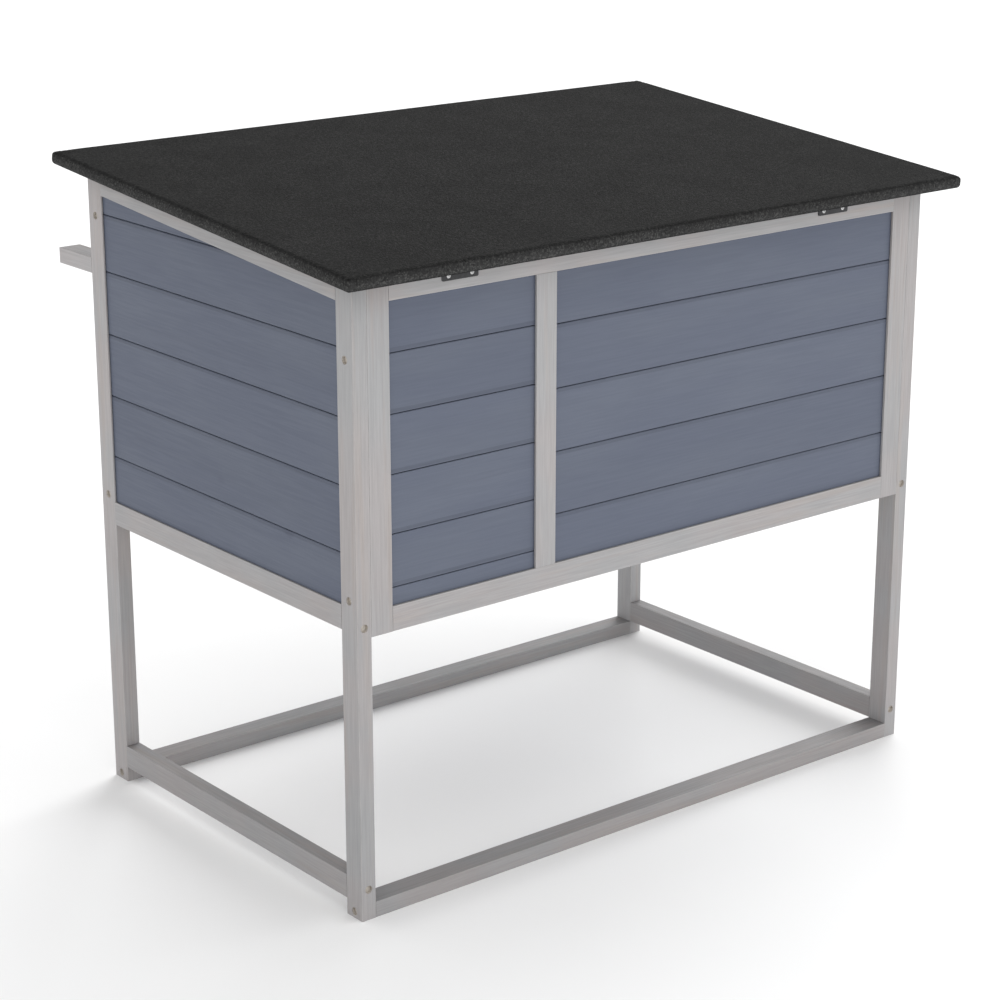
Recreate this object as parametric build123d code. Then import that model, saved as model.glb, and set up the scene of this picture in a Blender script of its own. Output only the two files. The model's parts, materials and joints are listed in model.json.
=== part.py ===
"""Rabbit hutch on legs: a plank-sided cabin with a felted lift-up roof on an open timber stand.

Millimetres.  +Z up, z = 0 at the floor.  X runs along the length, the doors face -Y and the roof
hinges are at +Y.  The origin is on the floor below the middle of the overall box.  The den, with the
solid door, is at the +X end, and the run, with the mesh door, is at the -X end.
"""
import os
from math import cos, radians, sin, tan

from build123d import *

# ---------------------------------------------------------------- driving dimensions
LENGTH = 900                # over the posts, along X
DEPTH = 550                 # over the posts, along Y
BATTEN_T = 20               # every batten is 20 x 30 section
BATTEN_W = 30
EDGE_ROUND = 0.8            # sanded long edges of the battens

ROOF_SLOPE = 4.95           # degrees, falling towards the hinges
ROOF_BACK_Z = 759.2         # underside of the felt above the cabin's back face
ROOF_SIDE_OVERHANG = 33
ROOF_FRONT_OVERHANG = 32.5
ROOF_BACK_OVERHANG = 40.5
ROOF_BOARD_T = 14
FELT_T = 1.25
ROOF_ROUND = 6              # outer rounding of the felted edge
FELT_MARGIN = 31            # width of the felt turned under the board
LID_GAP = 0.6               # left between the frame and the closed roof board

CABIN_BOTTOM = 347.5        # underside of the framed back and front
END_RAIL_BOTTOM = 353
MID_STILE_X = 175.3         # middle of the stile between the den and the run
TRAY_SLOT = 30.5            # height of the slot for the tray, above the front bottom rail

PLANK_T = 12
PLANK_ENTRY = 5             # how far planks reach into the grooves of their frame
GROOVE_DEPTH = 6
GROOVE_PLAY = 0.2           # across a groove, beside its plank or tongue
END_RECESS = 3              # from the outer face of the frame to that of the planks
WALL_RECESS = 4
PANEL_GAP = 0.7             # open joint between the frame and the planks' outer face
JOINT_GAP = 1               # open joint between two planks
PLANK_CHAMFER = 0.8
TONGUE_T = 4
TONGUE_H = 4
TONGUE_END_PLAY = 1         # between a tongue's end and the bottom of its groove
END_PLANK_LINES = (443, 522, 600.7, 680, 751.3)
BACK_DEN_LINES = (398.1, 461.1, 530.8, 600.2, 670)
BACK_RUN_LINES = (436.6, 513.3, 589.7, 666.5)
DOOR_PLANK_COUNT = 4

FLOOR_T = 6
PARTITION_T = 12
PARTITION_GAP = 4           # above the tray and under the roof
WAY_W = 165                 # arched way through the partition
WAY_H = 230
WAY_SILL = 45
WAY_INSET = 60              # from the framed front to the way

ARM_REACH = 79              # how far the two front arms stand out
ARM_TOP = 693.6

DOOR_GAP = 2.5
MESH_WIRE = 1.4
MESH_PITCH = 25
MESH_LAP = 9                # mesh stapled this far onto the door frame

HINGE_LENGTH = 51
LEAF_T = 1.5
ROOF_LEAF_W = 14.5          # from the pin's axis to the leaf's edge
DOOR_LEAF_W = 17
KNUCKLE_R = 3
KNUCKLE_GAP = 0.3
KNUCKLE_COUNT = 5
PIN_R = 1.25
PIN_PLAY = 0.05
ROOF_HINGE_X = (302, -288)
DOOR_HINGE_INSET = 62       # from the door's top or bottom to the middle of a hinge
LEAF_CORNER = 2
PIN_HEAD_R = 2.25
PIN_HEAD_H = 1
HINGE_SCREW_INSET = 9       # from the leaf's ends
HINGE_SCREW_EDGE = 5.5      # from the leaf's long edge
HINGE_SCREW_R = 1.5
HINGE_SCREW_HEAD_R = 2.8
HINGE_SCREW_HEAD_H = 0.9
HINGE_SCREW_L = 12

BOLT_R = 2.5
BOLT_PLAY = 0.06
BOLT_TRAVEL = 12
BOLT_STAND = 5.5            # from the door's face to the bolt's axis
BOLT_PLATE_H = 22
BOLT_CASE_L = 27
BOLT_CASE_R = 4.1
BOLT_L = 34
KNOB_INSET = 7              # from the case's far end to the knob of the drawn-back bolt
KNOB_R = 3.2
KNOB_STEM_R = 1.6
KNOB_STEM_L = 9
KEEPER_L = 11
KEEPER_R = 4.5
KEEPER_PLAY = 0.5
KEEPER_INSET = 2            # from the stile's edge to the keeper
BOLT_Z = {"den": 622, "run": 574}

TRAY_WALL = 1.5
TRAY_H = 24
TRAY_GAP = 0.4
TRAY_FRONT_T = 15
TRAY_SIDE_GAP = 2
TRAY_BACK_GAP = 4
TRAY_CORNER = 6
TRAY_INNER_ROUND = 3        # where the walls meet the bottom
TRAY_FRONT_PLAY = 1.2
PULL_SPAN = 96
PULL_REACH = 24
PULL_R = 4
PULL_BEND = 9
PULL_FOOT_R = 7
PULL_FOOT_T = 2

WELL_R = 4.9                # wells in the posts for the screws' heads
WELL_DEPTH = 6.5
SCREW_HEAD_R = 3.4
SCREW_HEAD_H = 2
SCREW_SHANK_R = 2
SCREW_L = 36
END_SCREW_Z = {"back": (8.2, 390.7, 668.7), "front": (8.2, 390.7, 748.2)}
FACE_SCREW_Z = (38.5, 360)

# ---------------------------------------------------------------- derived places
HALF_X = LENGTH / 2
BACK_Y = (ROOF_BACK_OVERHANG + DEPTH + ARM_REACH) / 2 - ROOF_BACK_OVERHANG
FRONT_Y = BACK_Y - DEPTH
POST_X = HALF_X - BATTEN_T          # inner face of the posts
STILE_X = POST_X - BATTEN_W         # inner face of the outer stiles
MID_LOW = MID_STILE_X - BATTEN_W / 2
MID_HIGH = MID_STILE_X + BATTEN_W / 2
BACK_IN = BACK_Y - BATTEN_T         # inner face of the framed back
FRONT_IN = FRONT_Y + BATTEN_T       # inner face of the framed front
SIDE_BACK = BACK_Y - BATTEN_W       # the end panels lie between these
SIDE_FRONT = FRONT_Y + BATTEN_W
RAIL_TOP = CABIN_BOTTOM + BATTEN_W
END_RAIL_TOP = END_RAIL_BOTTOM + BATTEN_W
SILL_LOW = RAIL_TOP + TRAY_SLOT     # the sill under the doors
SILL_TOP = SILL_LOW + BATTEN_W
ROOF_T = ROOF_BOARD_T + 2 * FELT_T
SLOPE = radians(ROOF_SLOPE)
HINGE_OFFSET = KNUCKLE_R + 0.3      # from a hinge's surface to its pin's axis

nodes = {}


def roof_z(y, height=0):
    """Level at y of the plane parallel to the roof, height above the underside of its felt."""
    return ROOF_BACK_Z + (BACK_Y - y) * tan(SLOPE) + height / cos(SLOPE)


def block(x, y, z):
    """A plain box between the low and high values of each pair."""
    middle = [sum(pair) / 2 for pair in (x, y, z)]
    return Pos(*middle) * Box(x[1] - x[0], y[1] - y[0], z[1] - z[0])


def batten(x, y, z, along, rounding=EDGE_ROUND):
    """A batten with its long edges rounded."""
    bar = block(x, y, z)
    return fillet(bar.edges().filter_by(along), rounding)


def mirrored(pair, side):
    """A pair of X values for the end at side = +1 or -1."""
    return tuple(sorted(value * side for value in pair))


def in_roof(shape):
    """Place a shape drawn flat, with y = 0 at the back face and z = 0 under the felt, in the roof."""
    return Pos(0, BACK_Y, ROOF_BACK_Z) * Rot(-ROOF_SLOPE, 0, 0) * shape


def below_roof(shape, gap=LID_GAP):
    """Cut the top of a frame member parallel to the roof, just under its board."""
    reach = 2 * LENGTH
    space = in_roof(Pos(0, 0, FELT_T - gap - reach / 2) * Box(reach, reach, reach))
    return shape & space


# ---------------------------------------------------------------- panels of planks
def plank(low, high, length):
    """One tongued and grooved plank, its length along X and its thickness along Y."""
    bottom = low + JOINT_GAP / 2
    top = high - JOINT_GAP / 2
    section = Pos(0, (bottom + top) / 2) * Rectangle(PLANK_T, top - bottom)
    section = chamfer(section.vertices(), PLANK_CHAMFER)
    tongue_root = top - PLANK_CHAMFER
    tongue = Rectangle(TONGUE_T, TONGUE_H + PLANK_CHAMFER)
    section += Pos(0, tongue_root + (TONGUE_H + PLANK_CHAMFER) / 2) * tongue
    groove_top = bottom + TONGUE_H - JOINT_GAP + TONGUE_END_PLAY
    groove = Rectangle(TONGUE_T + 2 * GROOVE_PLAY, 2 * (groove_top - bottom))
    section -= Pos(0, bottom) * groove
    return extrude(Plane.YZ * section, length / 2, both=True)


def plank_depth(recess):
    """The planks' two faces, measured inwards from the outer face of their frame."""
    return recess, recess + PLANK_T


def groove_depth(recess):
    """The same for the groove that holds the planks, which is open a little on the outside."""
    return recess - PANEL_GAP, recess + PLANK_T + GROOVE_PLAY / 2


def end_space(side, grow, depth):
    """The opening of an end panel, grown on all sides, as a slab at a depth from the end."""
    front = SIDE_FRONT - grow
    back = SIDE_BACK + grow
    bottom = END_RAIL_TOP - grow
    under_rail = FELT_T - LID_GAP - BATTEN_W + grow
    outline = Polygon(
        (front, bottom),
        (back, bottom),
        (back, roof_z(back, under_rail)),
        (front, roof_z(front, under_rail)),
        align=None,
    )
    middle = side * (HALF_X - sum(depth) / 2)
    return extrude(Plane.YZ.offset(middle) * outline, (depth[1] - depth[0]) / 2, both=True)


def wall_space(x, z, face_y, grow, depth):
    """The opening of a panel in a framed wall whose outer face is at face_y, as a slab."""
    inward = -1 if face_y > 0 else 1
    y = sorted(face_y + inward * value for value in depth)
    return block((x[0] - grow, x[1] + grow), y, (z[0] - grow, z[1] + grow))


def fill_with_planks(space, lines, middle, length, turn=0):
    """Planks between the lines, trimmed to the space that they fill."""
    place = Pos(middle[0], middle[1], 0) * Rot(0, 0, turn)
    planks = []
    for low, high in zip(lines, lines[1:]):
        trimmed = (place * plank(low, high, length)) & space
        planks.append(trimmed.solids().sort_by(SortBy.VOLUME)[-1])
    return Compound(planks)


def cut_groove(space, names):
    """Cut the groove that holds a panel out of the members round it."""
    for name in names:
        nodes[name] = nodes[name] - space


def add_end_panel(side, word):
    across = mirrored((POST_X, HALF_X), side)
    along = (SIDE_FRONT, SIDE_BACK)
    nodes[f"end_rail_{word}"] = batten(across, along, (END_RAIL_BOTTOM, END_RAIL_TOP), Axis.Y)
    length = (SIDE_BACK - SIDE_FRONT) / cos(SLOPE) + BATTEN_W
    top = FELT_T - LID_GAP
    blank = batten(across, (-DEPTH / 2 - length / 2, -DEPTH / 2 + length / 2), (top - BATTEN_W, top), Axis.Y)
    between_posts = block(across, along, (0, 2 * LENGTH))
    nodes[f"end_top_rail_{word}"] = in_roof(blank) & between_posts
    lines = (END_RAIL_TOP - BATTEN_W, *END_PLANK_LINES, ROOF_BACK_Z + BATTEN_W * 2)
    middle = (side * (HALF_X - END_RECESS - PLANK_T / 2), (SIDE_FRONT + SIDE_BACK) / 2)
    space = end_space(side, PLANK_ENTRY, plank_depth(END_RECESS))
    nodes[f"end_planks_{word}"] = fill_with_planks(space, lines, middle, DEPTH, turn=90)
    held_by = (f"end_rail_{word}", f"end_top_rail_{word}", f"post_front_{word}", f"post_back_{word}")
    cut_groove(end_space(side, GROOVE_DEPTH, groove_depth(END_RECESS)), held_by)


# ---------------------------------------------------------------- stand
def add_posts():
    for side, word in ((1, "right"), (-1, "left")):
        across = mirrored((POST_X, HALF_X), side)
        for face, along in (("front", (FRONT_Y, SIDE_FRONT)), ("back", (SIDE_BACK, BACK_Y))):
            post = batten(across, along, (0, roof_z(FRONT_Y) + BATTEN_W), Axis.Z)
            nodes[f"post_{face}_{word}"] = below_roof(post)


def add_stand_rails():
    between = (-POST_X, POST_X)
    level = (0, BATTEN_T)
    nodes["stand_rail_front"] = batten(between, (FRONT_Y, SIDE_FRONT), level, Axis.X)
    nodes["stand_rail_back"] = batten(between, (SIDE_BACK, BACK_Y), level, Axis.X)
    for side, word in ((1, "right"), (-1, "left")):
        across = mirrored((POST_X, HALF_X), side)
        upper = (BATTEN_T, BATTEN_T + BATTEN_W)
        nodes[f"stand_rail_{word}"] = batten(across, (SIDE_FRONT, SIDE_BACK), upper, Axis.Y)


# ---------------------------------------------------------------- framed back
def add_back():
    along = (BACK_IN, BACK_Y)
    tall = (CABIN_BOTTOM, roof_z(BACK_IN) + BATTEN_W)
    for side, word in ((1, "right"), (-1, "left")):
        stile = batten(mirrored((STILE_X, POST_X), side), along, tall, Axis.Z)
        nodes[f"back_stile_{word}"] = below_roof(stile)
    top_low = roof_z(BACK_Y, FELT_T - LID_GAP) - BATTEN_W
    between = (-STILE_X, STILE_X)
    nodes["back_bottom_rail"] = batten(between, along, (CABIN_BOTTOM, RAIL_TOP), Axis.X)
    nodes["back_top_rail"] = below_roof(batten(between, along, (top_low, top_low + 2 * BATTEN_W), Axis.X))
    nodes["back_mid_stile"] = batten((MID_LOW, MID_HIGH), along, (RAIL_TOP, top_low), Axis.Z)
    opening = (RAIL_TOP, top_low)
    for section, x, lines in (
        ("den", (MID_HIGH, STILE_X), BACK_DEN_LINES),
        ("run", (-STILE_X, MID_LOW), BACK_RUN_LINES),
    ):
        lines = (RAIL_TOP - BATTEN_W, *lines, top_low + BATTEN_W)
        space = wall_space(x, opening, BACK_Y, PLANK_ENTRY, plank_depth(WALL_RECESS))
        middle = (sum(x) / 2, BACK_Y - WALL_RECESS - PLANK_T / 2)
        nodes[f"back_planks_{section}"] = fill_with_planks(space, lines, middle, LENGTH)
        outer = "back_stile_right" if section == "den" else "back_stile_left"
        groove = wall_space(x, opening, BACK_Y, GROOVE_DEPTH, groove_depth(WALL_RECESS))
        cut_groove(groove, ("back_bottom_rail", "back_top_rail", "back_mid_stile", outer))


# ---------------------------------------------------------------- framed front
def front_opening_top():
    return roof_z(FRONT_IN, FELT_T - LID_GAP) - BATTEN_W


def add_front():
    along = (FRONT_Y, FRONT_IN)
    tall = (CABIN_BOTTOM, roof_z(FRONT_Y) + BATTEN_W)
    for side, word in ((1, "right"), (-1, "left")):
        stile = batten(mirrored((STILE_X, POST_X), side), along, tall, Axis.Z)
        nodes[f"front_stile_{word}"] = below_roof(stile)
    between = (-STILE_X, STILE_X)
    top_low = front_opening_top()
    nodes["front_bottom_rail"] = batten(between, along, (CABIN_BOTTOM, RAIL_TOP), Axis.X)
    nodes["front_sill"] = batten(between, along, (SILL_LOW, SILL_TOP), Axis.X)
    nodes["front_top_rail"] = below_roof(batten(between, along, (top_low, top_low + 2 * BATTEN_W), Axis.X))
    nodes["front_mid_stile"] = batten((MID_LOW, MID_HIGH), along, (SILL_TOP, top_low), Axis.Z)


def add_arms():
    """Two short battens that stand out in front of the posts, flush with the ends."""
    arms = []
    for side in (1, -1):
        across = mirrored((HALF_X - BATTEN_W, HALF_X), side)
        arm = block(across, (FRONT_Y - ARM_REACH, FRONT_Y), (ARM_TOP - BATTEN_T, ARM_TOP))
        free_edges = arm.edges().filter_by(Axis.Y) + arm.faces().sort_by(Axis.Y)[0].edges()
        arms.append(fillet(free_edges, EDGE_ROUND).solid())
    nodes["front_arms"] = Compound(arms)


# ---------------------------------------------------------------- floor and partition
def add_floor():
    underside = RAIL_TOP - FLOOR_T
    nodes["floor_board"] = block((-POST_X, POST_X), (FRONT_IN, BACK_IN), (underside, RAIL_TOP))
    level = (underside - BATTEN_T, underside)
    middle = (MID_LOW, MID_HIGH)
    places = ((STILE_X, POST_X), middle, (-POST_X, -STILE_X))
    bearers = [batten(x, (FRONT_IN, BACK_IN), level, Axis.Y).solid() for x in places]
    nodes["floor_bearers"] = Compound(bearers)


def add_partition():
    """Plywood wall between the den and the run, with an arched way through."""
    x = (MID_STILE_X - PARTITION_T / 2, MID_STILE_X + PARTITION_T / 2)
    low = RAIL_TOP + TRAY_GAP + TRAY_H + PARTITION_GAP
    tall = (low, roof_z(FRONT_IN) + BATTEN_W)
    sheet = below_roof(block(x, (FRONT_IN, BACK_IN), tall), gap=PARTITION_GAP)
    radius = WAY_W / 2
    middle_y = FRONT_IN + WAY_INSET + radius
    way_low = low + WAY_SILL
    arch_z = way_low + WAY_H - radius
    way = block((x[0] - 1, x[1] + 1), (middle_y - radius, middle_y + radius), (way_low, arch_z))
    arch = Pos(MID_STILE_X, middle_y, arch_z) * Rot(0, 90, 0) * Cylinder(radius, PARTITION_T + 2)
    nodes["partition"] = sheet - way - arch


# ---------------------------------------------------------------- roof
def add_roof():
    lean = (ROOF_T - ROOF_ROUND) * sin(SLOPE) + ROOF_ROUND * (1 - cos(SLOPE))
    back = (ROOF_BACK_OVERHANG - lean) / cos(SLOPE)
    front = -(DEPTH + ROOF_FRONT_OVERHANG) / cos(SLOPE)
    side = HALF_X + ROOF_SIDE_OVERHANG
    outer = block((-side, side), (front, back), (0, ROOF_T))
    outer = fillet(outer.edges(), ROOF_ROUND)
    inner_side = side - FELT_T
    board = block((-inner_side, inner_side), (front + FELT_T, back - FELT_T), (FELT_T, ROOF_T - FELT_T))
    board = fillet(board.edges(), ROOF_ROUND - FELT_T)
    window = block(
        (FELT_MARGIN - side, side - FELT_MARGIN),
        (front + FELT_MARGIN, back - FELT_MARGIN - (ROOF_BACK_OVERHANG - ROOF_SIDE_OVERHANG)),
        (-FELT_T, ROOF_T / 2),
    )
    nodes["roof_board"] = in_roof(board)
    nodes["roof_felt"] = in_roof(outer - board - window)


# ---------------------------------------------------------------- hinges
def knuckle_spans():
    pitch = HINGE_LENGTH / KNUCKLE_COUNT
    for index in range(KNUCKLE_COUNT):
        low = -HINGE_LENGTH / 2 + index * pitch
        yield index, low + KNUCKLE_GAP / 2, low + pitch - KNUCKLE_GAP / 2


def hinge_leaf(width, keeps_odd):
    """A leaf with its pin along Z through the origin.  It lies at y = -HINGE_OFFSET, towards +X."""
    root = KNUCKLE_R + 0.6
    plate_y = (-HINGE_OFFSET, LEAF_T - HINGE_OFFSET)
    leaf = block((root, width), plate_y, (-HINGE_LENGTH / 2, HINGE_LENGTH / 2))
    corners = leaf.edges().filter_by(Axis.Y).group_by(Axis.X)[-1]
    leaf = fillet(corners, LEAF_CORNER)
    for index, low, high in knuckle_spans():
        if (index % 2 == 1) == keeps_odd:
            height = high - low
            leaf += Pos(0, 0, (low + high) / 2) * Cylinder(KNUCKLE_R, height)
            leaf += block((0, root + 1), plate_y, (low, high))
    return leaf - Cylinder(PIN_R + PIN_PLAY, 2 * HINGE_LENGTH)


def hinge_pin():
    head = Cylinder(PIN_HEAD_R, PIN_HEAD_H)
    reach = HINGE_LENGTH / 2 + PIN_HEAD_H / 2
    return Cylinder(PIN_R, HINGE_LENGTH) + Pos(0, 0, reach) * head + Pos(0, 0, -reach) * head


def leaf_screw(x, z):
    """A screw through a leaf drawn by hinge_leaf, its head on the leaf."""
    outer = LEAF_T - HINGE_OFFSET
    head = Cylinder(HINGE_SCREW_HEAD_R, HINGE_SCREW_HEAD_H)
    head = Pos(x, outer + HINGE_SCREW_HEAD_H / 2, z) * Rot(90, 0, 0) * head
    shank = Cylinder(HINGE_SCREW_R, HINGE_SCREW_L)
    shank = Pos(x, outer - HINGE_SCREW_L / 2, z) * Rot(90, 0, 0) * shank
    return head + shank


def leaf_screws(width):
    """The two screws of one leaf."""
    x = width - HINGE_SCREW_EDGE
    reach = HINGE_LENGTH / 2 - HINGE_SCREW_INSET
    return [leaf_screw(x, z) for z in (-reach, reach)]


def fix(screws, leaf, member):
    """Drill a leaf and the member under it for the screws."""
    for screw in screws:
        leaf = leaf - screw
        nodes[member] = nodes[member] - screw
    return leaf


def roof_hinge_axis():
    """Y and Z of the pin of the roof hinges."""
    y = BACK_Y + HINGE_OFFSET
    z = roof_z(y, -HINGE_OFFSET)
    return y, z


def add_roof_hinges(frame_screws):
    axis_y, axis_z = roof_hinge_axis()
    frame_leaves = []
    roof_leaves = []
    pins = []
    for x in ROOF_HINGE_X:
        at_pin = Pos(x, axis_y, axis_z)
        on_frame = at_pin * Rot(0, 90, 0)
        leaf = on_frame * hinge_leaf(ROOF_LEAF_W, keeps_odd=False)
        screws = [on_frame * screw for screw in leaf_screws(ROOF_LEAF_W)]
        frame_leaves.append(fix(screws, leaf, "back_top_rail").solid())
        frame_screws += screws
        under_roof = at_pin * Rot(-ROOF_SLOPE - 90, 0, 0) * Rot(0, -90, 0)
        roof_leaves.append((under_roof * hinge_leaf(ROOF_LEAF_W, keeps_odd=True)).solid())
        pins.append((at_pin * Rot(0, 90, 0) * hinge_pin()).solid())
    nodes["roof_hinge_frame_leaves"] = Compound(frame_leaves)
    nodes["roof_hinge_roof_leaves"] = Compound(roof_leaves)
    nodes["roof_hinge_pins"] = Compound(pins)


# ---------------------------------------------------------------- doors
def door_limits(section):
    """Outer X and Z limits of a door."""
    x = (MID_HIGH, STILE_X) if section == "den" else (-STILE_X, MID_LOW)
    z = (SILL_TOP, front_opening_top())
    return (x[0] + DOOR_GAP, x[1] - DOOR_GAP), (z[0] + DOOR_GAP, z[1] - DOOR_GAP)


def add_door_frame(section):
    x, z = door_limits(section)
    along = (FRONT_Y, FRONT_IN)
    inner_x = (x[0] + BATTEN_W, x[1] - BATTEN_W)
    inner_z = (z[0] + BATTEN_W, z[1] - BATTEN_W)
    nodes[f"{section}_door_stile_left"] = batten((x[0], inner_x[0]), along, z, Axis.Z)
    nodes[f"{section}_door_stile_right"] = batten((inner_x[1], x[1]), along, z, Axis.Z)
    nodes[f"{section}_door_bottom_rail"] = batten(inner_x, along, (z[0], inner_z[0]), Axis.X)
    nodes[f"{section}_door_top_rail"] = batten(inner_x, along, (inner_z[1], z[1]), Axis.X)
    return inner_x, inner_z


def add_den_door():
    inner_x, inner_z = add_door_frame("den")
    pitch = (inner_z[1] - inner_z[0]) / DOOR_PLANK_COUNT
    lines = [inner_z[0] + index * pitch for index in range(1, DOOR_PLANK_COUNT)]
    lines = (inner_z[0] - BATTEN_W, *lines, inner_z[1] + BATTEN_W)
    space = wall_space(inner_x, inner_z, FRONT_Y, PLANK_ENTRY, plank_depth(WALL_RECESS))
    middle = (sum(inner_x) / 2, FRONT_Y + WALL_RECESS + PLANK_T / 2)
    nodes["den_door_planks"] = fill_with_planks(space, lines, middle, LENGTH)
    members = ("stile_left", "stile_right", "bottom_rail", "top_rail")
    groove = wall_space(inner_x, inner_z, FRONT_Y, GROOVE_DEPTH, groove_depth(WALL_RECESS))
    cut_groove(groove, [f"den_door_{member}" for member in members])


def add_run_door():
    inner_x, inner_z = add_door_frame("run")
    width = inner_x[1] - inner_x[0] + 2 * MESH_LAP
    height = inner_z[1] - inner_z[0] + 2 * MESH_LAP
    columns = round((width - MESH_WIRE) / MESH_PITCH)
    rows = round((height - MESH_WIRE) / MESH_PITCH)
    pitch_x = (width - MESH_WIRE) / columns
    pitch_z = (height - MESH_WIRE) / rows
    hole = Rectangle(pitch_x - MESH_WIRE, pitch_z - MESH_WIRE)
    grid = Rectangle(width, height) - GridLocations(pitch_x, pitch_z, columns, rows) * hole
    sheet = extrude(grid, MESH_WIRE)
    place = Pos(sum(inner_x) / 2, FRONT_IN + MESH_WIRE, sum(inner_z) / 2) * Rot(90, 0, 0)
    nodes["run_door_mesh"] = place * sheet


def add_door_hinges(frame_screws):
    frame_leaves = []
    pins = []
    for section, side in (("den", 1), ("run", -1)):
        z_limits = door_limits(section)[1]
        stile = "front_stile_right" if side > 0 else "front_stile_left"
        door_leaves = []
        for z in (z_limits[0] + DOOR_HINGE_INSET, z_limits[1] - DOOR_HINGE_INSET):
            at_pin = Pos(side * (STILE_X - DOOR_GAP / 2), FRONT_Y - HINGE_OFFSET, z) * Rot(180, 0, 0)
            outward = at_pin if side > 0 else at_pin * Rot(0, 180, 0)
            inward = at_pin * Rot(0, 180, 0) if side > 0 else at_pin
            leaf = outward * hinge_leaf(DOOR_LEAF_W, keeps_odd=False)
            screws = [outward * screw for screw in leaf_screws(DOOR_LEAF_W)]
            frame_leaves.append(fix(screws, leaf, stile).solid())
            frame_screws += screws
            door_leaves.append((inward * hinge_leaf(DOOR_LEAF_W, keeps_odd=True)).solid())
            pins.append((at_pin * hinge_pin()).solid())
        nodes[f"{section}_door_hinge_leaves"] = Compound(door_leaves)
    nodes["door_hinge_frame_leaves"] = Compound(frame_leaves)
    nodes["door_hinge_pins"] = Compound(pins)


# ---------------------------------------------------------------- barrel bolts
def bolt_plate(x):
    """The flat plate of a case or keeper, its back on the timber."""
    plate = block(x, (-BOLT_STAND, LEAF_T - BOLT_STAND), (-BOLT_PLATE_H / 2, BOLT_PLATE_H / 2))
    return fillet(plate.edges().filter_by(Axis.Y), LEAF_CORNER)


def along_bolt(x, radius):
    """A round bar on the bolt's axis between two X values."""
    return Pos(sum(x) / 2, 0, 0) * Rot(0, 90, 0) * Cylinder(radius, x[1] - x[0])


def bolt_case():
    """Plate and barrel on the door.  The bolt runs along X at the origin and leaves at x = 0."""
    x = (0, BOLT_CASE_L)
    web = block(x, (-BOLT_STAND, 0), (-BOLT_CASE_R, BOLT_CASE_R))
    case = bolt_plate(x) + along_bolt(x, BOLT_CASE_R) + web
    case -= along_bolt((-1, BOLT_CASE_L + 1), BOLT_R + BOLT_PLAY)
    slot_half = KNOB_STEM_R + BOLT_CASE_R / 8
    drawn_back = BOLT_CASE_L - KNOB_INSET
    slot_ends = (drawn_back - BOLT_TRAVEL - slot_half, drawn_back + slot_half)
    return case - block(slot_ends, (0, BOLT_CASE_R + 1), (-slot_half, slot_half))


def bolt_rod():
    """The drawn-back bolt with its knob."""
    rod = along_bolt((0, BOLT_L), BOLT_R)
    rod = chamfer(rod.edges(), BOLT_R / 4)
    knob_x = BOLT_CASE_L - KNOB_INSET
    stem = Pos(knob_x, KNOB_STEM_L / 2, 0) * Rot(90, 0, 0) * Cylinder(KNOB_STEM_R, KNOB_STEM_L)
    return rod + stem + Pos(knob_x, KNOB_STEM_L + KNOB_R / 2, 0) * Sphere(KNOB_R)


def bolt_keeper():
    """Bridge on the mid stile that takes the bolt, its mouth towards +X at x = 0."""
    x = (-KEEPER_L, 0)
    web = block(x, (-BOLT_STAND, 0), (-KEEPER_R, KEEPER_R))
    keeper = bolt_plate(x) + web + along_bolt(x, KEEPER_R)
    return keeper - along_bolt((-KEEPER_L - 1, 1), BOLT_R + KEEPER_PLAY)


def add_bolts():
    keepers = []
    for section, side in (("den", 1), ("run", -1)):
        edge = door_limits(section)[0][0 if side > 0 else 1]
        stile_edge = MID_HIGH if side > 0 else MID_LOW
        turn = Rot(180, 0, 0) if side > 0 else Rot(0, 0, 180)
        level = Pos(0, FRONT_Y - BOLT_STAND, BOLT_Z[section])
        at_door = Pos(edge + side, 0, 0) * level * turn
        nodes[f"{section}_bolt_case"] = at_door * bolt_case()
        nodes[f"{section}_bolt"] = at_door * bolt_rod()
        at_stile = Pos(stile_edge - KEEPER_INSET * side, 0, 0) * level * turn
        keepers.append((at_stile * bolt_keeper()).solid())
    nodes["bolt_keepers"] = Compound(keepers)


# ---------------------------------------------------------------- tray
def add_tray():
    low = RAIL_TOP + TRAY_GAP
    half = STILE_X - TRAY_SIDE_GAP
    front = FRONT_Y + TRAY_FRONT_T
    back = BACK_IN - TRAY_BACK_GAP
    outer = block((-half, half), (front, back), (low, low + TRAY_H))
    outer = fillet(outer.edges().filter_by(Axis.Z), TRAY_CORNER)
    hollow = block(
        (TRAY_WALL - half, half - TRAY_WALL),
        (front + TRAY_WALL, back - TRAY_WALL),
        (low + TRAY_WALL, low + TRAY_H + 1),
    )
    hollow = fillet(hollow.edges().filter_by(Axis.Z), TRAY_CORNER - TRAY_WALL)
    hollow = fillet(hollow.faces().sort_by(Axis.Z)[0].edges(), TRAY_INNER_ROUND)
    nodes["tray"] = outer - hollow
    facing_x = STILE_X - TRAY_FRONT_PLAY
    facing_z = (low, SILL_LOW - TRAY_GAP)
    nodes["tray_front"] = batten((-facing_x, facing_x), (FRONT_Y, front), facing_z, Axis.X)
    nodes["tray_pull"] = bow_pull(sum(facing_z) / 2)


def bow_pull(z):
    """A round bar bent to a bow, with a round foot at each end on the tray's front."""
    half_span = PULL_SPAN / 2
    path = FilletPolyline(
        (-half_span, FRONT_Y, z),
        (-half_span, FRONT_Y - PULL_REACH, z),
        (half_span, FRONT_Y - PULL_REACH, z),
        (half_span, FRONT_Y, z),
        radius=PULL_BEND,
    )
    ring = Plane(origin=(-half_span, FRONT_Y, z), z_dir=(0, -1, 0)) * Circle(PULL_R)
    pull = sweep(ring, path=path)
    foot = Rot(90, 0, 0) * Cylinder(PULL_FOOT_R, PULL_FOOT_T)
    for x in (-half_span, half_span):
        pull += Pos(x, FRONT_Y - PULL_FOOT_T / 2, z) * foot
    return pull


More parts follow.
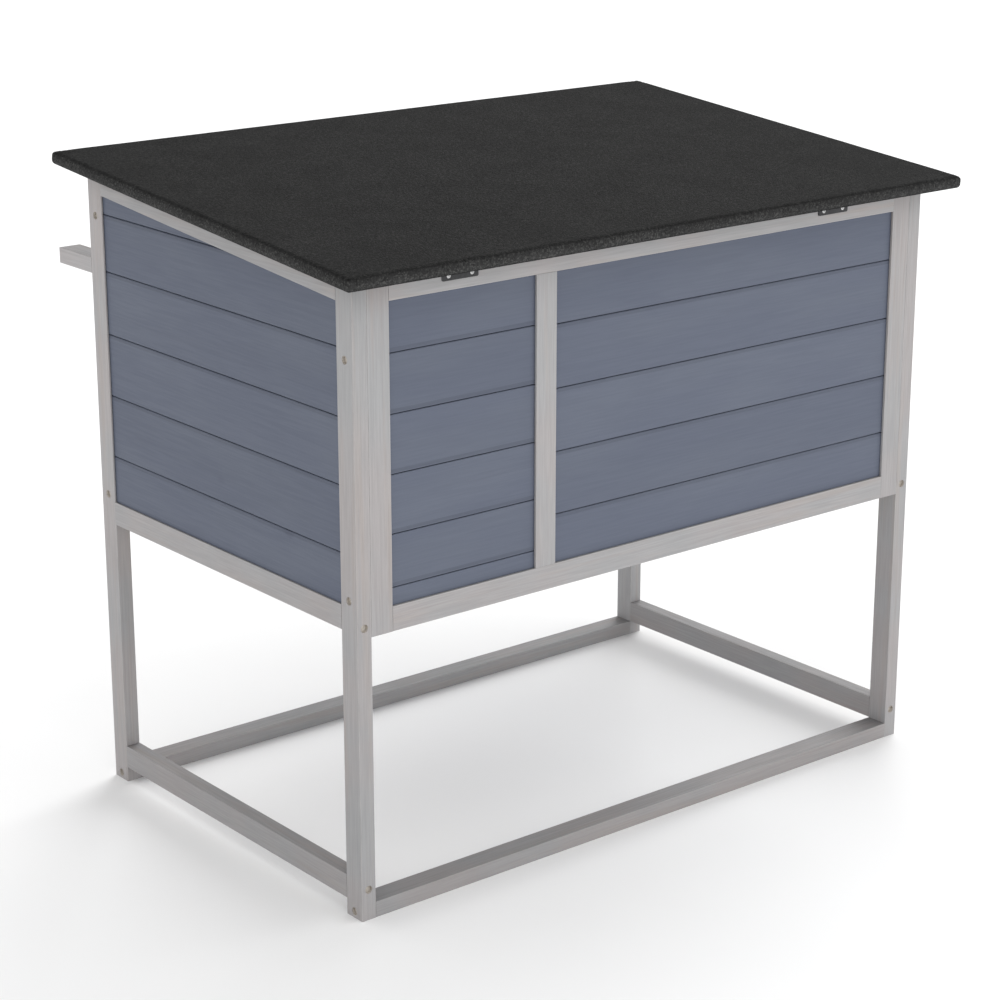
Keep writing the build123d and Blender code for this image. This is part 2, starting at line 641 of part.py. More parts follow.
# ---------------------------------------------------------------- frame screws
def frame_screw():
    """A screw that enters along -Z, its head at the bottom of a well sunk from the origin."""
    head = Pos(0, 0, -WELL_DEPTH - SCREW_HEAD_H / 2) * Cylinder(SCREW_HEAD_R, SCREW_HEAD_H)
    shank_middle = -WELL_DEPTH - SCREW_HEAD_H - SCREW_L / 2
    return head + Pos(0, 0, shank_middle) * Cylinder(SCREW_SHANK_R, SCREW_L)


def add_frame_screws():
    screws = []
    well = Pos(0, 0, -WELL_DEPTH / 2) * Cylinder(WELL_R, WELL_DEPTH)

    def drive(place, members):
        screw = place * frame_screw()
        nodes[members[0]] = nodes[members[0]] - (place * well)
        for member in members:
            nodes[member] = nodes[member] - screw
        screws.append(screw.solid())

    for side, word in ((1, "right"), (-1, "left")):
        for face, y in (("front", FRONT_Y + BATTEN_W / 2), ("back", BACK_Y - BATTEN_W / 2)):
            post = f"post_{face}_{word}"
            for z in END_SCREW_Z[face]:
                target = f"stand_rail_{face}" if z < CABIN_BOTTOM else f"{face}_stile_{word}"
                place = Pos(side * HALF_X, y, z) * Rot(0, 90 * side, 0)
                drive(place, (post, target))
            outward = -90 if face == "back" else 90
            face_y = BACK_Y if face == "back" else FRONT_Y
            for z, target in zip(FACE_SCREW_Z, (f"stand_rail_{word}", f"end_rail_{word}")):
                place = Pos(side * (HALF_X - BATTEN_T / 2), face_y, z) * Rot(outward, 0, 0)
                drive(place, (post, target))
    nodes["frame_screws"] = Compound(screws)


# ---------------------------------------------------------------- the whole hutch
def build():
    add_posts()
    add_stand_rails()
    add_end_panel(1, "right")
    add_end_panel(-1, "left")
    add_back()
    add_front()
    add_arms()
    add_floor()
    add_partition()
    add_roof()
    add_den_door()
    add_run_door()
    hinge_screws = []
    add_roof_hinges(hinge_screws)
    add_door_hinges(hinge_screws)
    nodes["hinge_screws"] = Compound([screw.solid() for screw in hinge_screws])
    add_bolts()
    add_tray()
    add_frame_screws()


build()
os.makedirs("parts", exist_ok=True)
for name, shape in nodes.items():
    export_step(shape, f"parts/{name}.step")

axis_y, axis_z = roof_hinge_axis()
print("nodes", len(nodes))
print("back and front faces at y", BACK_Y, FRONT_Y)
print("roof hinge axis y, z", round(axis_y, 3), round(axis_z, 3))
print("door hinge axis x, y", STILE_X - DOOR_GAP / 2, FRONT_Y - HINGE_OFFSET)
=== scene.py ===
"""Looks of the rabbit hutch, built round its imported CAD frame.  Metres, +Z up."""

import json
import math
import random
import zlib

import bmesh
import bpy
from mathutils import Matrix, Vector, noise


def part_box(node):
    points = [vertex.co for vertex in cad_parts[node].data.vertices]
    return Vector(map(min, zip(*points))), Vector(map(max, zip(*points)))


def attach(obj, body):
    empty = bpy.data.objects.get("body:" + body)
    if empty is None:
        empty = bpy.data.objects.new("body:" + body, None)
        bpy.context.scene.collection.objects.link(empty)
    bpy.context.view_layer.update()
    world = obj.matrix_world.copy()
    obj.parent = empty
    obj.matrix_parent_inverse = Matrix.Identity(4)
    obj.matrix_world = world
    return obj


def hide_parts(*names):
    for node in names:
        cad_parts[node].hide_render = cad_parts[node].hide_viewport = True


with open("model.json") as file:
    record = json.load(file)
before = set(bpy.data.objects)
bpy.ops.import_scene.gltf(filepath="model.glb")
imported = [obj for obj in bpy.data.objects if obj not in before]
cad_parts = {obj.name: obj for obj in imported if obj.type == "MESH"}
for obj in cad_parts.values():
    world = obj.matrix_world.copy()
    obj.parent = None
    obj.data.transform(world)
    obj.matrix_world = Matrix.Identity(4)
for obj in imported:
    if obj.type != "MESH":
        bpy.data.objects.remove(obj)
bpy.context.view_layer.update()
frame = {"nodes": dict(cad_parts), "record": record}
nodes = frame["nodes"]
joints = {joint["name"]: joint for joint in frame["record"]["behaviour"]["joints"]}
MM = 0.001
X, Y, Z = Vector((1, 0, 0)), Vector((0, 1, 0)), Vector((0, 0, 1))

# ---------------------------------------------------------------- view and light
CAMERA_AIM = (0.0434, 0.04585, 0.3721)
CAMERA_AZIMUTH = 140.99         # degrees, 0 looks along +Y and 90 along -X
CAMERA_ELEVATION = 17.45
CAMERA_DISTANCE = 3.3
CAMERA_LENS = 92.63             # mm, on a sensor 36 mm wide

SKY_STRENGTH = 1.0
# each soft light's angle from +X towards +Y, its height and its spread in degrees, and its strength
SOFT_LIGHTS = {"key": (210, 25, 38, 2.05), "fill": (130, 30, 60, 0.64)}
FLOOR_SIZE = 30                 # metres

# ---------------------------------------------------------------- detail sizes
ROOF_SLOPE = math.radians(4.95)
FELT_T = 1.25 * MM
FELT_ROUND = 6 * MM             # radius of the felt's bends
FELT_MARGIN = 31 * MM           # width of the felt turned under the board
FELT_WAVE = 0.3 * MM
BEND_STEPS = 6                  # of each bend's quarter turn
CORNER_STEPS = 14               # of each corner's quarter turn
NEAR_STEP, FAR_STEP = 2 * MM, 11 * MM       # between the felt's points near a corner and elsewhere
NEAR_COUNT = 18
HEM_SHARES = 1.0, 0.85, 0.65, 0.4           # where the felt's rings lie across its margin
TOP_RINGS = 0.7, 1.4, 2.2, 3.0, 3.8, 4.8, 6.5, 9, 13, 18, 25, 34    # millimetres past its bend
CREASE_INSET = 3.5 * MM         # from the roof's edge to the crease on its rounding
CREASE_DEPTH = 0.6 * MM
CREASE_HALF = 2.4 * MM
PLEAT_REACH = 30 * MM
PLEAT_DEPTH = 0.7 * MM
PLEATS = 28                     # in a full turn about a corner
DEEPEST_SINK = 1 * MM           # the board lies just under this
NAIL_INSET = 15 * MM
NAIL_GAP = 115 * MM
NAIL_R = 3.4 * MM

WELL_R = 4.9 * MM               # wells for the screws' heads in the posts
WELL_DEPTH = 6.5 * MM
WELL_PLAY = 0.03 * MM           # from the wall of a well to the outside of its lining
WELL_LINING = 0.12 * MM         # from the wall of a well to the inside of its lining
PLUG_DEPTH = 3.6 * MM           # down to the wooden plug over each screw's head
# radius, dome and length of a screw
LEAF_SCREW = (2.8 * MM, 0.5 * MM, 12 * MM)
PLATE_SCREW = (1.9 * MM, 0.35 * MM, 10 * MM)
PLATE_SCREW_LEVEL = 7.5 * MM    # above and below the middle of a bolt's plate

LEAF_T = 1.5 * MM
LEAF_STAND = 3.3 * MM           # from a leaf's back to its pin's axis
ROOF_LEAF_W = 14.5 * MM
DOOR_LEAF_W = 17 * MM
LEAF_SCREW_EDGE = 5.5 * MM
LEAF_SCREW_END = 9 * MM
PIN_HEAD_H = 1 * MM             # at both ends of a hinge's pin

WIRE_PITCH = 25 * MM
WIRE_T = 1.4 * MM               # through both layers of the welded mesh
WIRE_R = 0.5 * MM
WIRE_WOBBLE = 0.12 * MM
STAPLE_R = 0.45 * MM
STAPLE_W = 8 * MM
STAPLE_GAP = 62 * MM
STAPLE_LEG = 5 * MM             # how far its legs go into the door frame, beyond the mesh

ARRIS_REACH = 1.3 * MM          # width of a batten's long edges drawn lighter, as rubbed wear and painted highlight
PLY_T = 2.4 * MM                # one layer of the plywood
MERGE_GAP = 0.002 * MM          # vertices closer than this are one


def srgb(red, green, blue):
    """Linear colour of three display values from 0 to 255."""
    linear = []
    for value in (red / 255, green / 255, blue / 255):
        linear.append(value / 12.92 if value <= 0.04045 else ((value + 0.055) / 1.055) ** 2.4)
    return (*linear, 1.0)


def seeded(name):
    """A random source that depends on the name alone."""
    return random.Random(zlib.crc32(name.encode()))


def longest_axis(size):
    """0, 1 or 2 for the axis of a size's largest value."""
    return max(range(3), key=lambda axis: size[axis])


def solid_boxes(node):
    """Lowest and highest corner of each separate solid of a node at rest, from the lowest up."""
    mesh = bmesh.new()
    mesh.from_mesh(nodes[node].data)
    bmesh.ops.remove_doubles(mesh, verts=mesh.verts, dist=MERGE_GAP)
    waiting = set(mesh.verts)
    boxes = []
    while waiting:
        start = waiting.pop()
        reached = [start]
        for vertex in reached:
            for edge in vertex.link_edges:
                other = edge.other_vert(vertex)
                if other in waiting:
                    waiting.remove(other)
                    reached.append(other)
        low = Vector([min(vertex.co[axis] for vertex in reached) for axis in range(3)])
        high = Vector([max(vertex.co[axis] for vertex in reached) for axis in range(3)])
        boxes.append((low, high))
    mesh.free()
    return sorted(boxes, key=lambda box: (box[0].z, box[0].y, box[0].x))


# ---------------------------------------------------------------- camera, light and floor
def direction(azimuth, elevation):
    """Unit vector at an angle from +X towards +Y and a height above the floor, in degrees."""
    turn, rise = math.radians(azimuth), math.radians(elevation)
    return Vector((math.cos(turn) * math.cos(rise), math.sin(turn) * math.cos(rise), math.sin(rise)))


def add_camera():
    """A camera that looks at its aim from behind and from the right."""
    backwards = direction(CAMERA_AZIMUTH - 90, CAMERA_ELEVATION)
    data = bpy.data.cameras.new("camera")
    data.lens = CAMERA_LENS
    camera = bpy.data.objects.new("camera", data)
    camera.location = Vector(CAMERA_AIM) + backwards * CAMERA_DISTANCE
    camera.rotation_euler = (-backwards).to_track_quat("-Z", "Y").to_euler()
    bpy.context.scene.collection.objects.link(camera)
    bpy.context.scene.camera = camera


def add_light():
    """A white sky, a soft key light from the front left and a softer fill from the back left."""
    scene = bpy.context.scene
    scene.view_settings.view_transform = "Standard"
    world = bpy.data.worlds.new("white_studio")
    world.use_nodes = True
    background = world.node_tree.nodes["Background"]
    background.inputs["Color"].default_value = (1, 1, 1, 1)
    background.inputs["Strength"].default_value = SKY_STRENGTH
    scene.world = world
    for name, (azimuth, elevation, spread, strength) in SOFT_LIGHTS.items():
        light = bpy.data.lights.new(name, "SUN")
        light.energy = strength
        light.angle = math.radians(spread)
        lamp = bpy.data.objects.new(name, light)
        lamp.rotation_euler = direction(azimuth, elevation).to_track_quat("Z", "Y").to_euler()
        scene.collection.objects.link(lamp)


# ---------------------------------------------------------------- node materials
class Shader:
    """Builds one node material: each call adds a node and returns an output."""

    def __init__(self, name, **constants):
        self.material = bpy.data.materials.new(name)
        self.material.use_nodes = True
        self.tree = self.material.node_tree
        self.surface = self.tree.nodes["Principled BSDF"]
        for key, value in constants.items():
            self.surface.inputs[key.replace("_", " ")].default_value = value
        own_frame = self.add("TexCoord").outputs
        self.coords, self.normal = own_frame["Object"], own_frame["Normal"]

    def add(self, kind, inputs=None, **settings):
        """A new node of a kind, each input linked to an output or set to a value."""
        node = self.tree.nodes.new("ShaderNode" + kind)
        for key, value in settings.items():
            setattr(node, key, value)
        for key, value in (inputs or {}).items():
            if isinstance(value, bpy.types.NodeSocket):
                self.tree.links.new(value, node.inputs[key])
            else:
                node.inputs[key].default_value = value
        return node

    def calc(self, operation, first, second=0.0):
        """The result of a calculation on one or two values."""
        return self.add("Math", {0: first, 1: second}, operation=operation).outputs[0]

    def total(self, values):
        """The sum of several values."""
        result = values[0]
        for value in values[1:]:
            result = self.calc("ADD", result, value)
        return result

    def spread(self, value, low, high, to_low=0.0, to_high=1.0):
        """Value mapped smoothly from low..high to to_low..to_high."""
        inputs = {"Value": value, "From Min": low, "From Max": high, "To Min": to_low, "To Max": to_high}
        return self.add("MapRange", inputs, interpolation_type="SMOOTHSTEP").outputs["Result"]

    def vary(self, cloud, to_low, to_high):
        """The usual range of a noise mapped to to_low..to_high."""
        return self.spread(cloud, 0.3, 0.7, to_low, to_high)

    def noise(self, vector, scale, detail=2.0, roughness=0.5):
        """Soft random clouds, mostly between 0.3 and 0.7."""
        inputs = {"Vector": vector, "Scale": scale, "Detail": detail, "Roughness": roughness}
        return self.add("TexNoise", inputs).outputs["Fac"]

    def cells(self, vector, scale):
        """Rounded cells, with the distance from each one's middle and a random colour in it."""
        return self.add("TexVoronoi", {"Vector": vector, "Scale": scale})

    def mapped(self, vector, scale=(1, 1, 1), shift=(0, 0, 0)):
        """Coordinates scaled and then shifted."""
        return self.add("Mapping", {"Vector": vector, "Location": shift, "Scale": scale}).outputs[0]

    def mix(self, factor, first, second):
        """The first colour where the factor is 0 and the second where it is 1."""
        return self.add("Mix", {0: factor, 6: first, 7: second}, data_type="RGBA").outputs[2]

    def dim(self, colour, *factors):
        """A colour times every factor."""
        if isinstance(colour, tuple):
            colour = colour[:3]
        for factor in factors:
            colour = self.add("VectorMath", {0: colour, "Scale": factor}, operation="SCALE").outputs[0]
        return colour

    def part(self, vector, axis):
        """One component of a vector."""
        return self.add("SeparateXYZ", {0: vector}).outputs[axis]

    def facing(self, axis):
        """1 on flat faces square to an axis, 0 on the faces along it."""
        return self.spread(self.calc("ABSOLUTE", self.part(self.normal, axis)), 0.6, 0.8)

    def painted_top_shade(self, darkest):
        """Painted shade: falls from 1 to the darkest value on the faces that look up."""
        return self.spread(self.part(self.normal, 2), 0.6, 0.8, 1.0, darkest)

    def finish(self, colour, roughness=None, height=None, depth=0.3 * MM, strength=0.5):
        """Link the colour, roughness and bump to the surface and return the material."""
        links = self.tree.links
        links.new(colour, self.surface.inputs["Base Color"])
        if roughness is not None:
            links.new(roughness, self.surface.inputs["Roughness"])
        if height is not None:
            bump = self.add("Bump", {"Height": height, "Strength": strength, "Distance": depth})
            links.new(bump.outputs[0], self.surface.inputs["Normal"])
        return self.material


ALONG_GRAIN = 0.03              # how fast the figure changes along the grain, beside 1 across it
WAVES_PER_SCALE = 20 / (2 * math.pi)        # of a wave texture, for each metre and unit of scale


def squeezed(axis, share):
    """Scale of each axis, the given share along one and 1 across it."""
    scale = [1.0, 1.0, 1.0]
    scale[axis] = share
    return scale


def wood_figure(shader, vector, axis, middle, picks, ring_gap=2.6 * MM):
    """Growth rings, broad streaks and fine fibres that run along an axis, and their coordinates."""
    squeeze = squeezed(axis, ALONG_GRAIN)
    shift = [picks.choice((-1, 1)) * picks.uniform(12, 45) * MM for _ in range(3)]
    shift[axis] = picks.uniform(0, 5)
    place = [offset - centre * scale for offset, centre, scale in zip(shift, middle, squeeze)]
    along = shader.mapped(vector, squeeze, place)
    rings = shader.add(
        "TexWave",
        {
            "Vector": along,
            "Scale": 1 / (WAVES_PER_SCALE * ring_gap),
            "Distortion": 4.0,
            "Detail": 2.0,
            "Detail Scale": 0.25,
        },
        wave_type="RINGS",
        rings_direction="XYZ"[axis],
        wave_profile="SAW",
    ).outputs["Fac"]
    streaks = shader.noise(along, 520.0, 3.0)
    fibres = shader.noise(along, 1100.0, 3.0, 0.6)
    return rings, streaks, fibres, along


def arris(shader, low, high, axis):
    """1 on the long edges of a batten, falling to 0 within their reach."""
    close = []
    for across in [other for other in range(3) if other != axis]:
        middle = (low[across] + high[across]) / 2
        half = (high[across] - low[across]) / 2
        from_middle = shader.calc("SUBTRACT", shader.part(shader.coords, across), middle)
        offset = shader.calc("ABSOLUTE", from_middle)
        close.append(shader.spread(offset, half - ARRIS_REACH, half))
    return shader.calc("MULTIPLY", *close)


GREY_WASH = srgb(164, 163, 164)
GREY_WARM = srgb(167, 163, 163)
GREY_COOL = srgb(162, 162, 163)
GREY_THIN = srgb(168, 160, 156)
# colour of the long edges: rubbed wear and painted highlight
GREY_WORN_HIGHLIGHT = srgb(177, 175, 174)
GREY_END = srgb(146, 143, 139)
# how light some nodes are beside the others of their colour; for the stand rails this is painted shade
# and for the back top rail painted light under the roof's overhang
TONES_AND_PAINTED_LIGHT = {
    # painted shade: the low rails drawn darker
    "stand_rail": 0.9,
    "end_rail": 0.96,
    "back_mid_stile": 1.04,
    # painted light: lifts the shade under the roof's overhang
    "back_top_rail": 1.1,
    "end_planks": 0.95,
}


def tone_and_painted_light(node):
    """How light a node's paint is beside the others of its colour, including painted light and shade for
    some nodes.
    """
    return math.prod(value for name, value in TONES_AND_PAINTED_LIGHT.items() if node.startswith(name))


def painted_timber(node):
    """Thin grey wash on a planed batten, with the grain showing through, painted shade on its upward
    faces and towards the floor, and edges lightened as rubbed wear and painted highlight.
    """
    shader = Shader(f"grey_wash_{node}", Roughness=0.62, Specular_IOR_Level=0.25)
    picks = seeded(node)
    low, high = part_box(node)
    batten_low, batten_high = solid_boxes(node)[0]
    axis = longest_axis(batten_high - batten_low)
    middle = (low + high) / 2
    rings, streaks, fibres, place_along = wood_figure(shader, shader.coords, axis, middle, picks)
    drift = shader.mapped(shader.coords, shift=[picks.uniform(0, 9) for _ in range(3)])
    patches = shader.noise(drift, 7.0, 3.0)
    wash = shader.mix(shader.spread(patches, 0.42, 0.62), GREY_WASH, GREY_WARM)
    wash = shader.mix(shader.spread(patches, 0.46, 0.3), wash, GREY_COOL)
    worn_through = shader.spread(shader.noise(place_along, 110.0, 3.0), 0.5, 0.72, 0.0, 0.55)
    wash = shader.mix(worn_through, wash, GREY_THIN)
    # the long edges lightened as rubbed wear and as a painted highlight where their rounding catches
    # light
    rubbed_and_highlit = shader.spread(shader.noise(drift, 60.0), 0.35, 0.6, 0.4, 0.95)
    worn_edge = shader.calc("MULTIPLY", arris(shader, low, high, axis), rubbed_and_highlit)
    wash = shader.mix(worn_edge, wash, GREY_WORN_HIGHLIGHT)
    colour = shader.dim(
        wash,
        tone_and_painted_light(node) * picks.uniform(0.985, 1.015),
        shader.vary(streaks, 0.95, 1.045),
        shader.spread(fibres, 0.25, 0.75, 0.97, 1.03),
        shader.spread(rings, 0.55, 1.0, 1.0, 0.97),
        # painted shade on the faces that look up
        shader.painted_top_shade(0.65),
        shader.spread(shader.part(shader.coords, 2), 0.0, 0.7, 0.94, 1.0),      # painted shade, darker towards the floor
    )
    sawn = shader.dim(
        GREY_END,
        shader.spread(rings, 0.2, 1.0, 1.05, 0.8),
        shader.vary(fibres, 0.9, 1.05),
    )
    colour = shader.mix(shader.facing(axis), colour, sawn)
    roughness = shader.vary(streaks, 0.7, 0.56)
    brush = shader.noise(drift, 420.0, 3.0)
    height = shader.calc("ADD", fibres, shader.calc("MULTIPLY", rings, -0.3))
    height = shader.calc("ADD", height, shader.calc("MULTIPLY", brush, 0.25))
    return shader.finish(colour, roughness, height, depth=0.22 * MM, strength=0.5)


SLATE = srgb(95, 101, 116)
SLATE_PALE = srgb(98, 104, 118)
SLATE_DEEP = srgb(84, 89, 104)
SLATE_RING_GAP = 4 * MM
SHADE_STRIP_W = 3 * MM                # width of a strip of painted shade on each plank's edge beside its joint
SHADE_STRIP_MIDDLE = 3.4 * MM         # from the joint to the middle of the strip of painted shade
SHADE_STRIP_FADE = 1 * MM
TURNED_PLANKS = ("back_planks_den",)        # their strip of painted shade is on the lower edge of each plank


def painted_planks(node):
    """Slate-blue paint on softwood planks, each with its own faint grain and knots, and a strip of
    painted shade beside each joint.
    """
    shader = Shader(f"slate_paint_{node}", Roughness=0.6, Specular_IOR_Level=0.25)
    low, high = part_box(node)
    size = high - low
    axis = 0 if size.x > size.y else 1
    level = shader.part(shader.coords, 2)
    joints_below = []
    shade_strips = []
    for plank_low, _ in solid_boxes(node):
        joints_below.append(shader.calc("GREATER_THAN", level, plank_low.z))
        centre = plank_low.z + (SHADE_STRIP_MIDDLE if node in TURNED_PLANKS else -SHADE_STRIP_MIDDLE)
        start = centre - SHADE_STRIP_W / 2
        end = centre + SHADE_STRIP_W / 2
        from_start = shader.spread(level, start - SHADE_STRIP_FADE, start)
        past_end = shader.spread(level, end, end + SHADE_STRIP_FADE)
        shade_strips.append(shader.calc("SUBTRACT", from_start, past_end))
    number = shader.total(joints_below)
    joint_shade = shader.total(shade_strips)
    jumps = {0: shader.calc("MULTIPLY", number, 1.7), 1: shader.calc("MULTIPLY", number, 2.3)}
    jump = shader.add("CombineXYZ", jumps).outputs[0]
    place = shader.add("VectorMath", {0: shader.coords, 1: jump}, operation="ADD").outputs[0]
    middle = (low + high) / 2
    rings, streaks, fibres, _ = wood_figure(shader, place, axis, middle, seeded(node), SLATE_RING_GAP)
    patches = shader.noise(shader.mapped(place, squeezed(axis, 0.3)), 14.0, 3.0)
    paint = shader.mix(shader.spread(patches, 0.38, 0.66), SLATE, SLATE_PALE)
    knots = shader.cells(shader.mapped(place, squeezed(axis, 0.6)), 8.0).outputs["Distance"]
    paint = shader.mix(shader.spread(knots, 0.07, 0.03, 0.0, 0.5), paint, SLATE_DEEP)
    tone = shader.calc("FRACT", shader.calc("MULTIPLY", number, 0.618))
    colour = shader.dim(
        paint,
        tone_and_painted_light(node),
        shader.spread(tone, 0.0, 1.0, 0.985, 1.015),
        # painted shade in a strip beside each joint
        shader.spread(joint_shade, 0.0, 1.0, 1.0, 0.84),
        shader.vary(streaks, 0.98, 1.02),
        shader.spread(fibres, 0.25, 0.75, 0.985, 1.015),
        shader.spread(rings, 0.5, 1.0, 1.0, 0.98),
    )
    roughness = shader.vary(streaks, 0.66, 0.54)
    height = shader.calc("ADD", fibres, shader.calc("MULTIPLY", rings, -0.4))
    return shader.finish(colour, roughness, height, depth=0.22 * MM, strength=0.45)


PINE = srgb(196, 174, 142)
PINE_DARK = srgb(168, 138, 102)
RAW_WOOD = srgb(190, 184, 176)
RAW_WOOD_DARK = srgb(178, 169, 158)


def wood_material(name, axis, middle, picks, early, late):
    """Unpainted softwood with early and late wood in its rings."""
    shader = Shader(name, Roughness=0.6, Specular_IOR_Level=0.3)
    rings, streaks, fibres, _ = wood_figure(shader, shader.coords, axis, middle, picks)
    colour = shader.mix(shader.spread(rings, 0.4, 1.0, 0.0, 0.7), early, late)
    colour = shader.dim(
        colour,
        shader.vary(streaks, 0.9, 1.06),
        shader.spread(fibres, 0.25, 0.75, 0.9, 1.05),
    )
    roughness = shader.vary(fibres, 0.7, 0.5)
    return shader.finish(colour, roughness, fibres, depth=0.3 * MM)


def bare_timber(node):
    """Pine for the bearers, whose grain runs from front to back."""
    low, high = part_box(node)
    return wood_material(f"bare_pine_{node}", 1, (low + high) / 2, seeded(node), PINE, PINE_DARK)


PLY = srgb(168, 161, 150)
PLY_DARK = srgb(148, 139, 126)
PLY_CORE = srgb(122, 106, 88)


def bare_plywood(node):
    """Plywood: a wavy rotary figure on the faces and glued plies on the edges."""
    shader = Shader(f"plywood_{node}", Roughness=0.58, Specular_IOR_Level=0.3)
    low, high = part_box(node)
    size = high - low
    thin = 0 if size.x < size.z else 2
    along = 1 if thin == 0 else 0
    _, streaks, fibres, _ = wood_figure(shader, shader.coords, along, (low + high) / 2, seeded(node))
    flow = shader.noise(shader.mapped(shader.coords, squeezed(along, 0.16)), 5.0, 1.5)
    figure = shader.calc("PINGPONG", shader.calc("MULTIPLY", flow, 22.0), 1.0)
    face = shader.mix(shader.spread(figure, 0.35, 1.0, 0.0, 0.5), PLY, PLY_DARK)
    face = shader.dim(
        face,
        shader.vary(streaks, 0.92, 1.05),
        shader.spread(fibres, 0.25, 0.75, 0.93, 1.04),
    )
    plies = shader.calc("FRACT", shader.calc("DIVIDE", shader.part(shader.coords, thin), 2 * PLY_T))
    edge = shader.mix(shader.spread(plies, 0.45, 0.55), PLY, PLY_CORE)
    colour = shader.mix(shader.facing(thin), edge, face)
    roughness = shader.vary(fibres, 0.66, 0.5)
    return shader.finish(colour, roughness, fibres, depth=0.2 * MM)


FELT_TOP = srgb(33, 33, 33)
FELT_GRIT = srgb(56, 56, 55)
FELT_PIT = srgb(19, 19, 19)
EDGE_LIFT_AND_BOUNCE_LIGHT = 1.8, 3.2            # the bent edge is drawn lighter; the rise towards its bottom is painted light bounced from the floor


def felt_material(half):
    """Bitumen felt under charcoal mineral grit, with painted shade in its crease and its bent edge drawn
    lighter, most towards its bottom as painted light bounced from the floor.
    """
    shader = Shader("mineral_felt", Roughness=1.0, Specular_IOR_Level=0.04)
    grains = shader.cells(shader.coords, 620.0)
    value = shader.part(grains.outputs["Color"], 0)
    colour = shader.mix(shader.spread(value, 0.55, 1.0, 0.0, 0.5), FELT_TOP, FELT_GRIT)
    colour = shader.mix(shader.spread(value, 0.25, 0.0, 0.0, 0.6), colour, FELT_PIT)
    patches = shader.noise(shader.coords, 14.0, 3.0)
    clumps = shader.noise(shader.coords, 230.0, 3.0, 0.6)
    gaps = []
    squares = []
    for axis in (0, 1):
        offset = shader.calc("ABSOLUTE", shader.part(shader.coords, axis))
        gap = shader.calc("SUBTRACT", half[axis], offset)
        into_round = shader.calc("MAXIMUM", shader.calc("SUBTRACT", FELT_ROUND, gap), 0.0)
        gaps.append(gap)
        squares.append(shader.calc("MULTIPLY", into_round, into_round))
    nearest = shader.calc("MINIMUM", *gaps)
    from_core = shader.calc("SQRT", shader.calc("ADD", *squares))
    beyond_round = shader.calc("MAXIMUM", shader.calc("SUBTRACT", nearest, FELT_ROUND), 0.0)
    inset = shader.calc("ADD", shader.calc("SUBTRACT", FELT_ROUND, from_core), beyond_round)
    from_crease = shader.calc("ABSOLUTE", shader.calc("SUBTRACT", inset, CREASE_INSET))
    on_edge = shader.spread(inset, CREASE_INSET, 0.0)
    edge_lift_and_bounce = shader.spread(shader.part(shader.coords, 2), half.z, -half.z, *EDGE_LIFT_AND_BOUNCE_LIGHT)
    colour = shader.dim(
        colour,
        shader.spread(patches, 0.35, 0.65, 0.92, 1.07),
        shader.vary(clumps, 0.86, 1.14),
        # painted shade in the crease
        shader.spread(from_crease, 0.0, CREASE_INSET, 0.9, 1.0),
        # the bent edge drawn lighter, more towards its bottom as painted bounce light
        shader.spread(on_edge, 0.0, 1.0, 1.0, edge_lift_and_bounce),
    )
    height = shader.calc("ADD", shader.calc("MULTIPLY", grains.outputs["Distance"], -1.2), clumps)
    return shader.finish(colour, None, height, depth=0.8 * MM, strength=0.7)


def coated_steel(name, base, worn, rough):
    """Satin coating with fine speckle, faint rubbed patches and bright edges."""
    shader = Shader(name, Metallic=0.35, Roughness=rough, Specular_IOR_Level=0.5)
    speckle = shader.noise(shader.coords, 1500.0, 2.0)
    rubs = shader.noise(shader.coords, 160.0, 4.0, 0.65)
    rounded = shader.add("Bevel", {"Radius": 0.5 * MM}, samples=4).outputs[0]
    normal = shader.add("NewGeometry").outputs["Normal"]
    facing = shader.add("VectorMath", {0: rounded, 1: normal}, operation="DOT_PRODUCT").outputs["Value"]
    on_edge = shader.spread(facing, 0.995, 0.85)
    worn_edge = shader.calc("MULTIPLY", on_edge, shader.spread(rubs, 0.42, 0.6))
    colour = shader.mix(worn_edge, base, worn)
    colour = shader.dim(colour, shader.vary(speckle, 0.88, 1.1), shader.vary(rubs, 0.9, 1.1))
    roughness = shader.vary(rubs, rough + 0.08, rough - 0.1)
    return shader.finish(colour, roughness, speckle, depth=0.05 * MM, strength=0.4)


def zinc_steel(name, base):
    """Zinc plating with a soft spangle and fine scratches."""
    shader = Shader(name, Metallic=1.0, Roughness=0.32)
    cloud = shader.noise(shader.coords, 260.0, 3.0, 0.6)
    scratch = shader.noise(shader.mapped(shader.coords, (1.0, 0.08, 1.0)), 2600.0, 2.0)
    colour = shader.dim(base, shader.vary(cloud, 0.86, 1.06), shader.vary(scratch, 0.94, 1.04))
    roughness = shader.vary(cloud, 0.42, 0.26)
    return shader.finish(colour, roughness, scratch, depth=0.03 * MM, strength=0.5)


FLOOR_WHITE = srgb(238, 238, 238)


def floor_material():
    """Matt white paper with hardly any clouding."""
    shader = Shader("pale_floor", Roughness=0.9, Specular_IOR_Level=0.1)
    cloud = shader.noise(shader.coords, 3.0, 2.0)
    return shader.finish(shader.dim(FLOOR_WHITE, shader.vary(cloud, 0.995, 1.005)))


# ---------------------------------------------------------------- mesh helpers
def new_piece(name, mesh, material, body=None, place=None, smooth_angle=40):
    """Link a finished bmesh as a smooth-shaded object that rides on a body."""
    bmesh.ops.recalc_face_normals(mesh, faces=mesh.faces)
    data = bpy.data.meshes.new(name)
    mesh.to_mesh(data)
    mesh.free()
    data.materials.append(material)
    data.shade_smooth()
    data.set_sharp_from_angle(angle=math.radians(smooth_angle))
    piece = bpy.data.objects.new(name, data)
    bpy.context.scene.collection.objects.link(piece)
    if place is not None:
        piece.matrix_world = place
    if body:
        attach(piece, body)
    return piece


